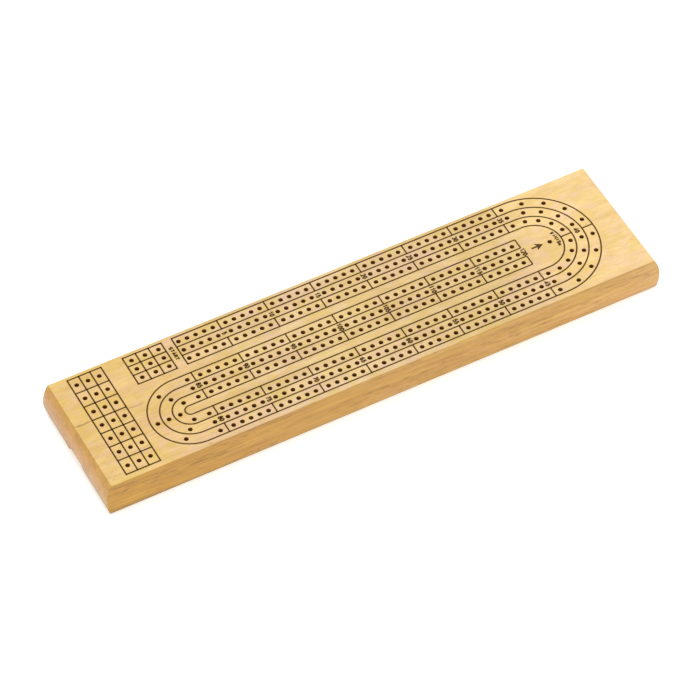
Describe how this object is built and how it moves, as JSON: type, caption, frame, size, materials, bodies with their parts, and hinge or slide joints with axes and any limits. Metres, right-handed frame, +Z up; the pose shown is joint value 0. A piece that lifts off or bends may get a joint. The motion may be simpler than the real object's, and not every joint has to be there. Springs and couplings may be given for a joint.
{
  "type": "cribbage board",
  "caption": "Long wooden cribbage board with a three-lane continuous track, scoring blocks, rounded ends, and a peg store under a sliding cover.",
  "frame": {"origin": "middle of the underside, on the surface the board rests on", "axes": "+X along the board from the games-won block towards the finish, +Y towards the long edge beside the first street, +Z up out of the playing face"},
  "size_m": [0.3766, 0.088, 0.0248],
  "materials": {
    "board_wood": "satin clear lacquer over pale beech or maple",
    "cover_steel": "brushed",
    "peg_green": "gloss",
    "peg_red": "gloss",
    "peg_blue": "gloss",
    "print_ink": "matt dark brown ink, used by the printed marks that the scene adds"
  },
  "bodies": {
    "board": {"board": "board_wood"},
    "storage_cover": {"storage_cover": "cover_steel"},
    "peg_green_1": {"peg_green_1": "peg_green"},
    "peg_green_2": {"peg_green_2": "peg_green"},
    "peg_green_3": {"peg_green_3": "peg_green"},
    "peg_red_1": {"peg_red_1": "peg_red"},
    "peg_red_2": {"peg_red_2": "peg_red"},
    "peg_red_3": {"peg_red_3": "peg_red"},
    "peg_blue_1": {"peg_blue_1": "peg_blue"},
    "peg_blue_2": {"peg_blue_2": "peg_blue"},
    "peg_blue_3": {"peg_blue_3": "peg_blue"}
  },
  "joints": [
    {"name": "cover_slide", "type": "slide", "parent": "board", "child": "storage_cover", "axis": [-1, 0, 0], "range_m": [0, 0.115]},
    {"name": "peg_green_1_play", "type": "slide", "parent": "board", "child": "peg_green_1", "axis": [-1, 0, 0], "range_m": [0, 0.006]},
    {"name": "peg_green_2_play", "type": "slide", "parent": "board", "child": "peg_green_2", "axis": [-1, 0, 0], "range_m": [0, 0.006]},
    {"name": "peg_green_3_play", "type": "slide", "parent": "board", "child": "peg_green_3", "axis": [-1, 0, 0], "range_m": [0, 0.006]},
    {"name": "peg_red_1_play", "type": "slide", "parent": "board", "child": "peg_red_1", "axis": [-1, 0, 0], "range_m": [0, 0.006]},
    {"name": "peg_red_2_play", "type": "slide", "parent": "board", "child": "peg_red_2", "axis": [-1, 0, 0], "range_m": [0, 0.006]},
    {"name": "peg_red_3_play", "type": "slide", "parent": "board", "child": "peg_red_3", "axis": [-1, 0, 0], "range_m": [0, 0.006]},
    {"name": "peg_blue_1_play", "type": "slide", "parent": "board", "child": "peg_blue_1", "axis": [-1, 0, 0], "range_m": [0, 0.006]},
    {"name": "peg_blue_2_play", "type": "slide", "parent": "board", "child": "peg_blue_2", "axis": [-1, 0, 0], "range_m": [0, 0.006]},
    {"name": "peg_blue_3_play", "type": "slide", "parent": "board", "child": "peg_blue_3", "axis": [-1, 0, 0], "range_m": [0, 0.006]}
  ]
}
